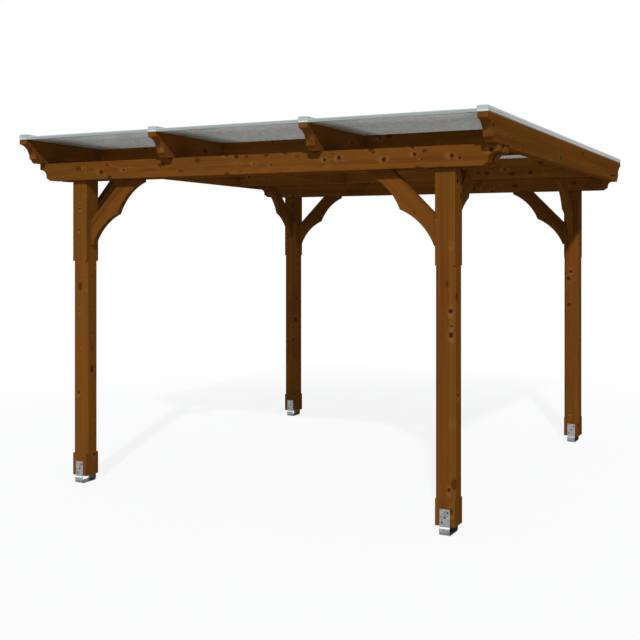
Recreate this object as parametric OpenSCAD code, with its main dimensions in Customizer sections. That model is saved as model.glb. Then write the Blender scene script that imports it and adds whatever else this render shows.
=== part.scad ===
// Garden pavilion: an open timber frame of four posts, two twin beams and four
// rafters with knee braces, under a nearly flat roof of clear sheets.
// Lengths are millimetres. X runs along the front, Y from front to back,
// Z up from the ground.

/* [Overall] */
// width over the faces of the two outer rafters
roof_w = 3322; // [2800:2:3900]
// length of the rafters, front to back
roof_l = 3550; // [2950:2:4300]
// height of the underside of the beams above the ground
clear_h = 2084; // [1700:1:2500]
// drop of the roof from front to back
fall = 38; // [20:1:60]

/* [Posts] */
// side of the square posts
post_s = 120; // [100:1:144]
// distance of the post centres in from the outer rafter faces
side_in = 329; // [280:1:400]
// distance of the post centres in from the rafter ends
end_in = 292; // [260:1:360]
// width of the chamfer on the post corners
chamfer = 17; // [6:1:22]
// height of the square foot of the post below the chamfers
foot_l = 151; // [120:1:300]
// length of the square head of the post above the chamfers
head_l = 556; // [460:1:700]

/* [Anchors] */
// clear height of the post above the ground
lift = 52; // [44:1:80]
// thickness of the anchor strap
strap_t = 5; // [4:0.5:8]
// width of the anchor strap
strap_w = 62; // [50:1:80]
// height of the strap plates on the post faces
plate_h = 98; // [90:1:130]
// diameter of the ground bolt hole
bolt_d = 14; // [10:0.5:18]

/* [Beams] */
// thickness of each of the two planks of a beam
plank_w = 80; // [60:1:100]
// slot between the two planks, and thickness of the post tongues and braces
slot_w = 40; // [30:1:60]
// height of the beams
beam_h = 120; // [112:1:150]

/* [Rafters] */
// width of the rafters
rafter_w = 60; // [50:1:80]
// height of the rafters
rafter_h = 165; // [150:1:200]
// thickness of the cross blocks between the rafters
block_t = 60; // [40:1:80]
// height of the cross blocks
block_h = 161; // [135:1:165]

/* [Braces] */
// reach of the braces along the beam and down the post
brace_l = 446; // [370:1:455]
// distance of the straight inner edge from the corner
brace_in = 279; // [220:1:290]
// reach of the outer point of the brace
brace_tip = 234; // [205:1:245]
// height of the side braces over those under the beams
brace_up = 73; // [50:1:90]

/* [Roof] */
// thickness of the roof sheets
sheet_t = 16; // [10:1:25]
// width of the glazing bars
bar_w = 64; // [56:1:80]
// height of the glazing bars over the sheets
bar_h = 18; // [14:1:30]
// wall of the edge channels on the sheet ends
trim_t = 2; // [1.5:0.5:4]

/* [Hidden] */
$fn = 96;
slope = atan(fall / roof_l);
post_x = roof_w / 2 - side_in;
post_y = roof_l / 2 - end_in;
post_l = clear_h - lift;
beam_w = 2 * plank_w + slot_w;
beam_l = roof_w - 12;
seat_z = clear_h + beam_h;
top_z = seat_z + rafter_h - 11;
raft_x = roof_w / 2 - rafter_w / 2;
raft_dx = 2 * raft_x / 3;
block_y = post_y - post_s / 2 - brace_l - 3;
rib_w = 22;

// lays a piece drawn level, with its top at zero, along the slope of the roof
module on_slope() {
  translate([0, -roof_l / 2, top_z]) rotate([-slope, 0, 0]) children();
}

// one post: square foot and head, chamfered corners between, and a tongue on
// top that stands in the slot of the beam
module post() {
  difference() {
    union() {
      translate([-post_s / 2, -post_s / 2, lift]) cube([post_s, post_s, post_l]);
      translate([-post_s / 2, -slot_w / 2, clear_h - 1]) cube([post_s, slot_w, beam_h - 9]);
    }
    for (k = [0 : 3]) rotate([0, 0, 90 * k])
      translate([post_s / 2, post_s / 2, lift + foot_l]) rotate([0, 0, 45])
        translate([-chamfer * 0.7071, -post_s, 0])
          cube([post_s, 2 * post_s, post_l - foot_l - head_l]);
  }
}

// lower corner of the anchor strap, rounded to radius r at y = y1, z = z1
module bend(y1, z1, r) {
  difference() {
    translate([y1 - r, z1 - 1]) square([r + 1, r + 1]);
    translate([y1 - r, z1 + r]) circle(r);
  }
}

// outline of one side of the strap's outer or inner face, w from the middle
module strap_side(w, z0, r) {
  difference() {
    polygon([[-1, z0], [w + 7, z0], [w + 7, lift - 12], [w, lift - 4], [w, lift + plate_h], [-1, lift + plate_h]]);
    bend(w + 7, z0, r);
  }
}

module strap_outline(w, z0, r) {
  strap_side(w, z0, r);
  mirror([1, 0]) strap_side(w, z0, r);
}

// bent strap under a post, screwed to its front and back faces
module anchor() {
  difference() {
    rotate([90, 0, 90]) translate([0, 0, -strap_w / 2]) linear_extrude(strap_w)
      strap_outline(post_s / 2 + strap_t, 0, 18);
    rotate([90, 0, 90]) translate([0, 0, -strap_w]) linear_extrude(2 * strap_w) {
      strap_outline(post_s / 2, strap_t, 18 - strap_t);
      translate([-post_s / 2, lift]) square([post_s, plate_h + 10]);
    }
    translate([0, 0, -1]) cylinder(d = bolt_d, h = strap_t + 2);
    for (k = [-1 : 1])
      translate([18 * k, 0, lift + 50 + 29 * k]) rotate([90, 0, 0])
        cylinder(d = 8, h = post_s + 40, center = true);
  }
}

// end cut of a beam: drop, cove, fillet and bevel, from the top corner
module beam_cut() {
  translate([-1, -beam_h - 1]) square([11, beam_h - 40]);
  translate([9, -92]) circle(49);
  translate([-1, -beam_h - 1]) square([60, beam_h - 101]);
  polygon([[58, -beam_h - 1], [58, -102], [70, -105], [72, -107], [91, -beam_h], [91, -beam_h - 1]]);
}

// one plank of a beam, k = -1 in front of the slot, 1 behind it
module beam(k) {
  translate([0, k * (slot_w + plank_w) / 2, seat_z]) rotate([90, 0, 0])
    translate([0, 0, -plank_w / 2]) linear_extrude(plank_w) difference() {
      translate([-beam_l / 2, -beam_h]) square([beam_l, beam_h]);
      translate([-beam_l / 2, 0]) beam_cut();
      translate([beam_l / 2, 0]) mirror([1, 0]) beam_cut();
    }
}

// end cut of a rafter, from the top corner
module nose_cut() {
  translate([0, -127]) circle(95);
  translate([-96, -rafter_h - 1]) square([192, rafter_h - 126]);
  polygon([[95, -rafter_h - 1], [95, -126], [108, -128], [109, -130], [138, -rafter_h], [138, -rafter_h - 1]]);
}

// one rafter, let down over both beams on level seats; the front seat runs out
// through the nose
module rafter() {
  difference() {
    on_slope() rotate([90, 0, 90]) translate([0, 0, -rafter_w / 2])
      linear_extrude(rafter_w) difference() {
        translate([0, -rafter_h]) square([roof_l, rafter_h]);
        nose_cut();
        translate([roof_l, 0]) mirror([1, 0]) nose_cut();
      }
    translate([-rafter_w, -roof_l, seat_z - 200])
      cube([2 * rafter_w, roof_l - post_y + beam_w / 2, 200]);
    translate([-rafter_w, post_y - beam_w / 2, seat_z - 200])
      cube([2 * rafter_w, beam_w, 200]);
  }
}

// one cross block between two rafters, y from the front end of the rafters
module block(y) {
  w = raft_dx - rafter_w;
  on_slope() translate([-w / 2, y - block_t / 2, -block_h]) cube([w, block_t, block_h]);
}

// brace: a straight inner edge at 45 degrees and two hollow curves that meet in
// the outer point; the post face is at x = 0 and the corner at z = 0. Its head
// goes up by "up", with the inner edge running on if lean is 1
module brace(up, lean) {
  b = brace_l;
  t = brace_tip;
  r = 0.85 * b;
  e = 21;
  chord = norm([b - t, t - e]);
  h = sqrt(r * r - chord * chord / 4) / chord;
  cx = (t + e) / 2 + h * (b - t);
  cy = (t + b) / 2 + h * (t - e);
  rotate([90, 0, 0]) translate([0, 0, -slot_w / 2]) linear_extrude(slot_w)
    difference() {
      polygon([
        [0, -brace_in], [brace_in, 0], [brace_in + lean * up, up], [b, up],
        [b, -e - 5], [t + 3, -t - 3], [e + 5, -b], [0, -b]
      ]);
      translate([cx, -cy]) circle(r);
      translate([cy, -cx]) circle(r);
    }
}

// the braces under a beam have their heads in its slot
module brace_x(sx, sy) {
  translate([sx * (post_x - post_s / 2), sy * post_y, clear_h])
    rotate([0, 0, sx > 0 ? 180 : 0]) brace(45, 0);
}

// the side braces run from the posts up to the cross blocks
module brace_y(sx, sy) {
  difference() {
    translate([sx * post_x, sy * (post_y - post_s / 2), clear_h + brace_up])
      rotate([0, 0, -90 * sy]) brace(120, 1);
    on_slope() translate([-roof_w, 0, -block_h]) cube([2 * roof_w, roof_l, 2 * block_h]);
  }
}

// one roof sheet between the ribs of two glazing bars
module sheet() {
  w = raft_dx - rib_w;
  on_slope() translate([-w / 2, trim_t, 0]) cube([w, roof_l - 2 * trim_t, sheet_t]);
}

// glazing bar: a rib between the sheets and a cap over them
module bar() {
  on_slope() translate([-bar_w / 2, 6, sheet_t]) cube([bar_w, roof_l - 12, bar_h]);
  on_slope() translate([-rib_w / 2, 6, 0]) cube([rib_w, roof_l - 12, sheet_t + 1]);
}

// strip that fills the outer side of an end bar, k = -1 left, 1 right
module edge(k) {
  w = rafter_w / 2 - rib_w / 2;
  on_slope() translate([k * (rib_w / 2 + w / 2) - w / 2, 6, 0]) cube([w, roof_l - 12, sheet_t]);
}

// channel on the end of a sheet, between two bars
module trim() {
  w = raft_dx - bar_w;
  difference() {
    translate([-w / 2, 0, -trim_t]) cube([w, 22, sheet_t + 2 * trim_t]);
    translate([-w, trim_t, 0]) cube([2 * w, 40, sheet_t]);
  }
}

module trim_front() {
  on_slope() trim();
}

module trim_back() {
  on_slope() translate([0, roof_l, 0]) mirror([0, 1, 0]) trim();
}

function raft(i) = -raft_x + (i - 1) * raft_dx;
function bay(i) = -raft_dx + (i - 1) * raft_dx;

module post_fl() color([0.44, 0.27, 0.11]) translate([-post_x, -post_y, 0]) post();
module post_fr() color([0.44, 0.27, 0.11]) translate([post_x, -post_y, 0]) post();
module post_bl() color([0.44, 0.27, 0.11]) translate([-post_x, post_y, 0]) post();
module post_br() color([0.44, 0.27, 0.11]) translate([post_x, post_y, 0]) post();
module anchor_fl() color([0.7, 0.7, 0.7]) translate([-post_x, -post_y, 0]) anchor();
module anchor_fr() color([0.7, 0.7, 0.7]) translate([post_x, -post_y, 0]) anchor();
module anchor_bl() color([0.7, 0.7, 0.7]) translate([-post_x, post_y, 0]) anchor();
module anchor_br() color([0.7, 0.7, 0.7]) translate([post_x, post_y, 0]) anchor();
module beam_fa() color([0.44, 0.27, 0.11]) translate([0, -post_y, 0]) beam(-1);
module beam_fb() color([0.44, 0.27, 0.11]) translate([0, -post_y, 0]) beam(1);
module beam_ba() color([0.44, 0.27, 0.11]) translate([0, post_y, 0]) beam(-1);
module beam_bb() color([0.44, 0.27, 0.11]) translate([0, post_y, 0]) beam(1);
module rafter_1() color([0.44, 0.27, 0.11]) translate([raft(1), 0, 0]) rafter();
module rafter_2() color([0.44, 0.27, 0.11]) translate([raft(2), 0, 0]) rafter();
module rafter_3() color([0.44, 0.27, 0.11]) translate([raft(3), 0, 0]) rafter();
module rafter_4() color([0.44, 0.27, 0.11]) translate([raft(4), 0, 0]) rafter();
module block_f1() color([0.4, 0.25, 0.1]) translate([bay(1), 0, 0]) block(roof_l / 2 - block_y);
module block_f2() color([0.4, 0.25, 0.1]) translate([bay(2), 0, 0]) block(roof_l / 2 - block_y);
module block_f3() color([0.4, 0.25, 0.1]) translate([bay(3), 0, 0]) block(roof_l / 2 - block_y);
module block_b1() color([0.4, 0.25, 0.1]) translate([bay(1), 0, 0]) block(roof_l / 2 + block_y);
module block_b2() color([0.4, 0.25, 0.1]) translate([bay(2), 0, 0]) block(roof_l / 2 + block_y);
module block_b3() color([0.4, 0.25, 0.1]) translate([bay(3), 0, 0]) block(roof_l / 2 + block_y);
module brace_x_fl() color([0.4, 0.25, 0.1]) brace_x(-1, -1);
module brace_x_fr() color([0.4, 0.25, 0.1]) brace_x(1, -1);
module brace_x_bl() color([0.4, 0.25, 0.1]) brace_x(-1, 1);
module brace_x_br() color([0.4, 0.25, 0.1]) brace_x(1, 1);
module brace_y_fl() color([0.4, 0.25, 0.1]) brace_y(-1, -1);
module brace_y_fr() color([0.4, 0.25, 0.1]) brace_y(1, -1);
module brace_y_bl() color([0.4, 0.25, 0.1]) brace_y(-1, 1);
module brace_y_br() color([0.4, 0.25, 0.1]) brace_y(1, 1);
module sheet_1() color([0.7, 0.75, 0.72]) translate([bay(1), 0, 0]) sheet();
module sheet_2() color([0.7, 0.75, 0.72]) translate([bay(2), 0, 0]) sheet();
module sheet_3() color([0.7, 0.75, 0.72]) translate([bay(3), 0, 0]) sheet();
module bar_1() color([0.8, 0.8, 0.8]) translate([raft(1), 0, 0]) bar();
module bar_2() color([0.8, 0.8, 0.8]) translate([raft(2), 0, 0]) bar();
module bar_3() color([0.8, 0.8, 0.8]) translate([raft(3), 0, 0]) bar();
module bar_4() color([0.8, 0.8, 0.8]) translate([raft(4), 0, 0]) bar();
module edge_l() color([0.85, 0.83, 0.78]) translate([raft(1), 0, 0]) edge(-1);
module edge_r() color([0.85, 0.83, 0.78]) translate([raft(4), 0, 0]) edge(1);
module trim_f1() color([0.85, 0.83, 0.78]) translate([bay(1), 0, 0]) trim_front();
module trim_f2() color([0.85, 0.83, 0.78]) translate([bay(2), 0, 0]) trim_front();
module trim_f3() color([0.85, 0.83, 0.78]) translate([bay(3), 0, 0]) trim_front();
module trim_b1() color([0.85, 0.83, 0.78]) translate([bay(1), 0, 0]) trim_back();
module trim_b2() color([0.85, 0.83, 0.78]) translate([bay(2), 0, 0]) trim_back();
module trim_b3() color([0.85, 0.83, 0.78]) translate([bay(3), 0, 0]) trim_back();

post_fl();
post_fr();
post_bl();
post_br();
anchor_fl();
anchor_fr();
anchor_bl();
anchor_br();
beam_fa();
beam_fb();
beam_ba();
beam_bb();
rafter_1();
rafter_2();
rafter_3();
rafter_4();
block_f1();
block_f2();
block_f3();
block_b1();
block_b2();
block_b3();
brace_x_fl();
brace_x_fr();
brace_x_bl();
brace_x_br();
brace_y_fl();
brace_y_fr();
brace_y_bl();
brace_y_br();
sheet_1();
sheet_2();
sheet_3();
bar_1();
bar_2();
bar_3();
bar_4();
edge_l();
edge_r();
trim_f1();
trim_f2();
trim_f3();
trim_b1();
trim_b2();
trim_b3();
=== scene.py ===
"""Looks of the garden pavilion: stained timber, galvanised anchors and a clear sheet roof.

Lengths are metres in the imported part's frame: X along the front, Y to the back, Z up. Timber,
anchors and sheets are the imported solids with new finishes; the glazing bars are modelled here,
and screws are added to the anchors.
"""

from __future__ import annotations

import logging
import math
from dataclasses import dataclass, field
from enum import Enum
from functools import reduce
from typing import Any, Iterable

import bpy
import numpy as np
from mathutils import Matrix, Vector

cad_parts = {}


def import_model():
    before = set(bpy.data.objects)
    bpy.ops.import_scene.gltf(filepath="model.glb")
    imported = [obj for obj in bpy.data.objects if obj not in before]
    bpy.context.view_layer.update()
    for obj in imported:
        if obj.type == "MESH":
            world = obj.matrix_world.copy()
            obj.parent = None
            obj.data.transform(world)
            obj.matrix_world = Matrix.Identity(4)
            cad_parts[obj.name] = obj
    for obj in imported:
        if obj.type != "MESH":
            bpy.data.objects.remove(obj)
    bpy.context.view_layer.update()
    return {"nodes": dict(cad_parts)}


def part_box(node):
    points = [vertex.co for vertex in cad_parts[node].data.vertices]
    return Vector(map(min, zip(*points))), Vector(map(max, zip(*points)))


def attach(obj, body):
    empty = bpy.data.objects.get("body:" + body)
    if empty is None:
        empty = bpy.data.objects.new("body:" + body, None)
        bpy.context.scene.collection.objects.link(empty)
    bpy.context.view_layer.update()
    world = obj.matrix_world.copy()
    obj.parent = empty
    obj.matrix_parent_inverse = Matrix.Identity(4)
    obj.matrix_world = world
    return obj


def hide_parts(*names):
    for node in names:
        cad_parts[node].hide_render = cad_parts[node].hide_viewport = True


log = logging.getLogger("pavilion")
Material = bpy.types.Material
Nodes = dict[str, bpy.types.Object]
Socket = bpy.types.NodeSocket
Sockets = tuple[tuple[str, str], ...]
Span = tuple[float, float]
Triple = tuple[float, float, float]
WHITE: Triple = (1.0, 1.0, 1.0)


class Slot(Enum):
    """Material slots of the part's record, one for each kind of new piece."""

    STEEL = "galvanised_steel"
    BAR = "bar_aluminium"


class Lay(Enum):
    """Directions in which the grain of a timber can run."""

    ALONG_X = (1.0, 0.0, 0.0)
    ALONG_Y = (0.0, 1.0, 0.0)
    UPRIGHT = (0.0, 0.0, 1.0)
    RISING_RIGHT = (1.0, 0.0, 1.0)
    RISING_LEFT = (-1.0, 0.0, 1.0)
    RISING_BACK = (0.0, 1.0, 1.0)
    RISING_FRONT = (0.0, -1.0, 1.0)


# ---- shader wiring


@dataclass
class Wiring:
    """Lays nodes in one shader tree and joins them."""

    tree: bpy.types.NodeTree

    def feed(self, socket: Socket, value: Any) -> None:
        """Joins another socket to this one, or sets its value.

        Args:
            socket: the input that is fed.
            value: an output socket, or a number, tuple or colour.
        """
        if isinstance(value, Socket):
            self.tree.links.new(value, socket)
        elif socket.type == "RGBA":
            socket.default_value = (*value, 1.0)
        else:
            socket.default_value = value

    def add(self, kind: str, feeds: dict[Any, Any] | None = None, **settings: Any) -> bpy.types.Node:
        """Adds one node.

        Args:
            kind: the node's type without its ShaderNode prefix.
            feeds: input name or index, and what feeds it.
            **settings: attributes of the node.

        Returns:
            The new node.
        """
        node = self.tree.nodes.new("ShaderNode" + kind)
        for name, value in settings.items():
            setattr(node, name, value)
        for key, value in (feeds or {}).items():
            self.feed(node.inputs[key], value)
        return node

    def math(self, operation: str, a: Any, b: Any = 0.0, clamp: bool = False) -> Socket:
        """Puts a and b through one Math node and returns its result."""
        return self.add("Math", {0: a, 1: b}, operation=operation, use_clamp=clamp).outputs[0]

    def plus(self, a: Any, b: Any, clamp: bool = False) -> Socket:
        """Adds a and b."""
        return self.math("ADD", a, b, clamp)

    def minus(self, a: Any, b: Any) -> Socket:
        """Takes b from a."""
        return self.math("SUBTRACT", a, b)

    def times(self, a: Any, b: Any) -> Socket:
        """Multiplies a by b."""
        return self.math("MULTIPLY", a, b)

    def larger(self, a: Any, b: Any) -> Socket:
        """Gives the larger of a and b."""
        return self.math("MAXIMUM", a, b)

    def size(self, a: Any) -> Socket:
        """Gives a without its sign."""
        return self.math("ABSOLUTE", a)

    def vector(self, operation: str, a: Any, b: Any = (0.0, 0.0, 0.0)) -> Socket:
        """Puts a and b through one Vector Math node and returns its result."""
        node = self.add("VectorMath", {0: a, 1: b}, operation=operation)
        return node.outputs["Value" if operation in ("DOT_PRODUCT", "LENGTH") else "Vector"]

    def scaled(self, a: Any, b: Any) -> Socket:
        """Multiplies vector a by b, axis by axis."""
        return self.vector("MULTIPLY", a, b)

    def length(self, a: Any) -> Socket:
        """Gives the length of vector a."""
        return self.vector("LENGTH", a)

    def axes(self, a: Any) -> Any:
        """Gives the x, y and z of vector a."""
        return self.add("SeparateXYZ", {0: a}).outputs

    def ramp(
        self, value: Any, low: float, high: float, start: float = 0.0, end: float = 1.0
    ) -> Socket:
        """Maps value along a smooth step: start at low and before it, end at high and beyond."""
        feeds = {"Value": value, "From Min": low, "From Max": high, "To Min": start, "To Max": end}
        return self.add("MapRange", feeds, interpolation_type="SMOOTHSTEP").outputs["Result"]

    def noise(self, place: Any, cells: Any, detail: float = 2.0, output: Any = 0) -> Socket:
        """Gives noise at a place, with so many cells to a metre along each axis."""
        feeds = {"Vector": self.scaled(place, cells), "Scale": 1.0, "Detail": detail}
        return self.add("TexNoise", {**feeds, "Roughness": 0.55}).outputs[output]

    def bent(self, place: Any, cells: Triple, detail: float, reach: Triple) -> Socket:
        """Shifts a place by three-channel noise, less its middle, times the reach."""
        shift = self.vector("SUBTRACT", self.noise(place, cells, detail, "Color"), (0.5, 0.5, 0.5))
        return self.vector("ADD", place, self.scaled(shift, reach))

    def blend(self, factor: Any, a: Any, b: Any) -> Socket:
        """Mixes colour a into colour b by factor and returns the colour."""
        return self.add("Mix", {0: factor, 6: a, 7: b}, data_type="RGBA").outputs[2]

    def layered(self, colour: Any, layers: Iterable[tuple[Any, Any]]) -> Socket:
        """Lays layers of mask and colour over a colour, from the bottom up."""
        return reduce(lambda under, layer: self.blend(layer[0], under, layer[1]), layers, colour)


@dataclass(frozen=True)
class Mottle:
    """Noise stepped smoothly: its value low gives start and its value high gives end."""

    cells: Triple
    detail: float
    low: float
    high: float
    start: float = 0.0
    end: float = 1.0

    def lay(self, w: Wiring, place: Any) -> Socket:
        """Lays the noise at a place, and its step."""
        noise = w.noise(place, self.cells, self.detail)
        return w.ramp(noise, self.low, self.high, self.start, self.end)


class Effect:
    """A shader node group that several materials share. Subclasses lay its nodes."""

    name: str
    takes: Sockets
    gives: Sockets

    def tree(self) -> bpy.types.NodeTree:
        """Finds the node group, or builds it at its first use.

        Returns:
            The node group.
        """
        made = bpy.data.node_groups.get(self.name)
        if made:
            return made
        made = bpy.data.node_groups.new(self.name, "ShaderNodeTree")
        for side, sockets in (("INPUT", self.takes), ("OUTPUT", self.gives)):
            for name, kind in sockets:
                kind = "NodeSocket" + kind
                made.interface.new_socket(name=name, in_out=side, socket_type=kind)
        wiring = Wiring(made)
        source = made.nodes.new("NodeGroupInput").outputs
        sink = made.nodes.new("NodeGroupOutput").inputs
        for name, socket in self.lay(wiring, source).items():
            wiring.feed(sink[name], socket)
        return made

    def lay(self, w: Wiring, source: Any) -> dict[str, Socket]:
        """Lays the group's nodes.

        Args:
            w: the group's wiring.
            source: the group's inputs.

        Returns:
            What each output of the group shows.
        """
        raise NotImplementedError

    def place(self, w: Wiring, feeds: dict[str, Any]) -> Any:
        """Places the group in a material, with what feeds each input, and gives its outputs."""
        return w.add("Group", feeds, node_tree=self.tree()).outputs


@dataclass(frozen=True)
class GrainEffect(Effect):
    """Softwood: growth rings round a pith, lengthwise streaks, fibres and knots.

    The place has x along the grain and the pith on the axis y = z = 0. A share is how much a
    mask adds, from 0 to 1.
    """

    name = "timber_grain"
    takes = (
        ("Place", "Vector"),
        ("Ring Width", "Float"),
        ("Knottiness", "Float"),
        *((name, "Color") for name in ("Light", "Dark", "Knot", "Stain", "Halo", "Tint")),
    )
    gives = (("Colour", "Color"), ("Roughness", "Float"), ("Height", "Float"))
    knot_cells: Triple = (14.0, 17.0, 17.0)
    knot_radius: Span = (0.065, 0.2)
    no_knot: float = 0.0001
    knot_long: Span = (0.6, 1.3)
    knot_wide: Span = (1.3, 0.8)
    ragged: Mottle = Mottle((170.0, 170.0, 170.0), 2.0, 0.3, 0.7, 0.8, 1.25)
    core_edge: Span = (1.1, 0.7)
    core_share: Span = (0.4, 1.0)
    stain_edge: Span = (2.0, 1.0)
    stain_share: Span = (0.9, 0.4)
    rim_inside: Span = (0.55, 0.95)
    rim_outside: Span = (1.4, 0.95)
    rim_share: float = 0.6
    halo_stretch: Triple = (0.5, 1.0, 1.0)
    halo_shift: Triple = (0.065, 0.0, 0.0)
    halo_edge: Span = (2.5, 0.8)
    halo_share: Span = (0.05, 0.65)
    halo_swell: float = 1.3
    wander_cells: Triple = (1.3, 5.0, 5.0)
    wander: Triple = (0.0, 0.055, 0.055)
    late_start: Span = (0.25, 0.9)
    late_end: Span = (1.0, 0.93)
    late_patches: Mottle = Mottle((0.6, 9.0, 9.0), 2.0, 0.32, 0.68, 0.3, 1.0)
    late_share: float = 0.4
    streaks: Mottle = Mottle((0.9, 42.0, 42.0), 3.0, 0.3, 0.72)
    streak_share: float = 0.4
    bands: Mottle = Mottle((0.3, 19.0, 19.0), 2.0, 0.36, 0.66)
    band_share: float = 0.55
    fibre_cells: Triple = (26.0, 620.0, 620.0)
    fibre_share: float = 0.3
    blotches: Mottle = Mottle((2.1, 6.5, 6.5), 3.0, 0.36, 0.66)
    blotch_share: float = 0.55
    rough: float = 0.58
    rough_swing: float = 0.12
    late_relief: float = 0.5
    fibre_relief: float = 0.35
    rim_relief: float = 0.5

    def knots(self, w: Wiring, place: Socket, knottiness: Socket) -> dict[str, Socket]:
        """Lays the knots' masks.

        A knot is a ragged oval round a cell point, of a radius, length, width and depth drawn
        for each cell. Its core, the rim round it, its red stain and the pale halo on one side
        are steps of the distance from the cell point over the radius.

        Args:
            w: the group's wiring.
            place: the place in the log.
            knottiness: the share of the cells that hold a knot.

        Returns:
            The masks of core, rim, stain, halo and how pale the halo is.
        """
        grid = w.scaled(place, self.knot_cells)
        cells = w.add("TexVoronoi", {"Vector": grid, "Scale": 1.0}).outputs
        drawn = w.add("SeparateColor", {0: cells["Color"]}).outputs
        kept = w.math("LESS_THAN", drawn[2], knottiness)
        radius = w.times(w.ramp(drawn[0], 0.1, 0.9, *self.knot_radius), kept)
        radius = w.plus(radius, self.no_knot)
        long = w.ramp(drawn[1], 0.0, 1.0, *self.knot_long)
        wide = w.ramp(drawn[0], 0.0, 1.0, *self.knot_wide)
        oval = w.add("CombineXYZ", {0: long, 1: wide, 2: 1.0}).outputs[0]
        offset = w.scaled(w.vector("SUBTRACT", grid, cells["Position"]), oval)
        away = w.times(w.length(offset), self.ragged.lay(w, place))
        away = w.math("DIVIDE", away, radius)
        core = w.ramp(drawn[1], 0.0, 0.6, *self.core_share)
        stain = w.ramp(drawn[2], 0.0, 1.0, *self.stain_share)
        beside = w.vector("ADD", w.scaled(offset, self.halo_stretch), self.halo_shift)
        halo = w.ramp(w.math("DIVIDE", w.length(beside), radius), *self.halo_edge)
        return {
            "core": w.times(w.ramp(away, *self.core_edge), core),
            "rim": w.times(w.ramp(away, *self.rim_inside), w.ramp(away, *self.rim_outside)),
            "stain": w.times(w.ramp(away, *self.stain_edge), stain),
            "halo": halo,
            "pale": w.times(halo, w.ramp(drawn[1], 0.2, 0.8, *self.halo_share)),
        }

    def rings(self, w: Wiring, place: Socket, width: Socket, halo: Socket) -> tuple[Socket, ...]:
        """Lays the growth rings.

        Ring number is the distance from the pith over the ring width, and it swells round
        knots. Each ring darkens slowly and ends sharply, and rings fade in patches.

        Args:
            w: the group's wiring.
            place: the place in the log.
            width: the width of a ring.
            halo: the knots' halo.

        Returns:
            The late wood of the rings, the fibres and the tone that all of it adds up to.
        """
        bent = w.bent(place, self.wander_cells, 1.0, self.wander)
        across = w.length(w.scaled(bent, (0.0, 1.0, 1.0)))
        number = w.plus(w.math("DIVIDE", across, width), w.times(halo, self.halo_swell))
        part = w.math("FRACT", number)
        late = w.times(w.ramp(part, *self.late_start), w.ramp(part, *self.late_end))
        late = w.times(late, self.late_patches.lay(w, place))
        fibre = w.noise(place, self.fibre_cells)
        streak = w.times(self.streaks.lay(w, place), self.streak_share)
        band = w.times(w.minus(self.bands.lay(w, place), 0.5), self.band_share)
        tone = w.plus(w.plus(w.times(late, self.late_share), streak), band)
        tone = w.plus(tone, w.times(w.minus(fibre, 0.5), self.fibre_share), clamp=True)
        return late, fibre, tone

    def lay(self, w: Wiring, source: Any) -> dict[str, Socket]:
        """Lays the grain: the tone's two colours, then blotches, halos, stains and knots.

        Args:
            w: the group's wiring.
            source: the group's inputs.

        Returns:
            Colour, roughness and height.
        """
        place = source["Place"]
        knot = self.knots(w, place, source["Knottiness"])
        late, fibre, tone = self.rings(w, place, source["Ring Width"], knot["halo"])
        layers = (
            (w.times(self.blotches.lay(w, place), self.blotch_share), source["Tint"]),
            (knot["pale"], source["Halo"]),
            (knot["stain"], source["Stain"]),
            (w.times(knot["rim"], self.rim_share), source["Knot"]),
            (knot["core"], source["Knot"]),
        )
        colour = w.layered(w.blend(tone, source["Light"], source["Dark"]), layers)
        rough = w.times(w.minus(tone, knot["core"]), self.rough_swing)
        height = w.plus(w.times(late, self.late_relief), w.times(fibre, self.fibre_relief))
        height = w.minus(height, w.times(knot["rim"], self.rim_relief))
        return {"Colour": colour, "Roughness": w.plus(rough, self.rough), "Height": height}


@dataclass(frozen=True)
class ArrisEffect(Effect):
    """Rounded and rubbed edges: a normal that rolls over each edge, and a mask along it."""

    name = "rubbed_arris"
    takes = (("Place", "Vector"), ("Radius", "Float"))
    gives = (("Mask", "Float"), ("Normal", "Vector"))
    rays: int = 6
    turn: Span = (0.01, 0.22)
    rubbing: Mottle = Mottle((14.0, 60.0, 60.0), 3.0, 0.35, 0.65, 0.25, 1.0)

    def lay(self, w: Wiring, source: Any) -> dict[str, Socket]:
        """Lays the edge mask: one less the rolled normal on the true one, broken up by noise.

        Args:
            w: the group's wiring.
            source: the group's inputs.

        Returns:
            Mask and normal.
        """
        rolled = w.add("Bevel", {"Radius": source["Radius"]}, samples=self.rays).outputs[0]
        true = w.add("NewGeometry").outputs["Normal"]
        turn = w.minus(1.0, w.vector("DOT_PRODUCT", rolled, true))
        mask = w.times(w.ramp(turn, *self.turn), self.rubbing.lay(w, source["Place"]))
        return {"Mask": mask, "Normal": rolled}


@dataclass(frozen=True)
class GrimeEffect(Effect):
    """Damp and dust: darker close to the ground and in slow patches."""

    name = "damp_and_dust"
    takes = (("Place", "Vector"),)
    gives = (("Mask", "Float"),)
    patches: Mottle = Mottle((2.2, 2.2, 2.2), 4.0, 0.48, 0.78)
    patch_share: float = 0.45
    splash: Span = (0.16, -0.02)
    splash_cells: Triple = (9.0, 9.0, 3.0)
    splash_uneven: float = 0.22

    def lay(self, w: Wiring, source: Any) -> dict[str, Socket]:
        """Lays the mask: patches of noise, and a splash band that fades up from the ground.

        Args:
            w: the group's wiring.
            source: the group's inputs.

        Returns:
            The mask.
        """
        place = source["Place"]
        uneven = w.times(w.noise(place, self.splash_cells, 3.0), self.splash_uneven)
        splash = w.ramp(w.minus(w.axes(place)[2], uneven), *self.splash)
        return {"Mask": w.larger(w.times(self.patches.lay(w, place), self.patch_share), splash)}


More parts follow.
